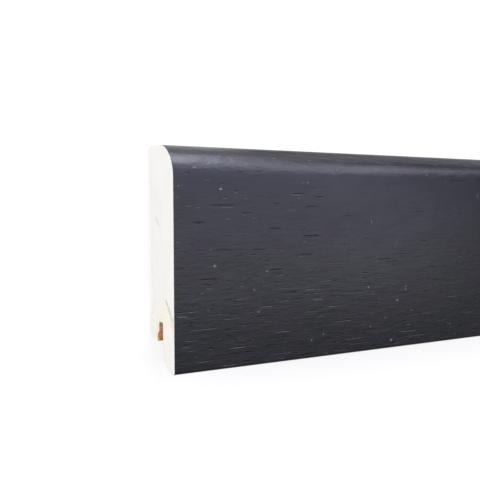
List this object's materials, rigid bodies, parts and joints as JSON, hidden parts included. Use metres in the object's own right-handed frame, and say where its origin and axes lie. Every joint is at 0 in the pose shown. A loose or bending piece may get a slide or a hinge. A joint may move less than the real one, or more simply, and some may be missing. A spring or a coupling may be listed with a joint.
{
  "type": "skirting board length",
  "caption": "Length of black-stained timber skirting board with a rounded top edge, a hollowed back and a clip groove behind its toe.",
  "frame": {"origin": "on the wall side of the board, at the middle of its length and of its height; the board lies on its back, face up", "axes": "+X along the length, +Y up the board from its foot to its rounded top edge, +Z out of the face, away from the wall"},
  "size_m": [2.4, 0.06, 0.016],
  "materials": {
    "black_stained_wood": "open-pored black stain under a satin lacquer on the face and the front round, raw planed wood on the back and ends"
  },
  "bodies": {
    "root": {"skirting_board": "black_stained_wood"}
  },
  "joints": []
}
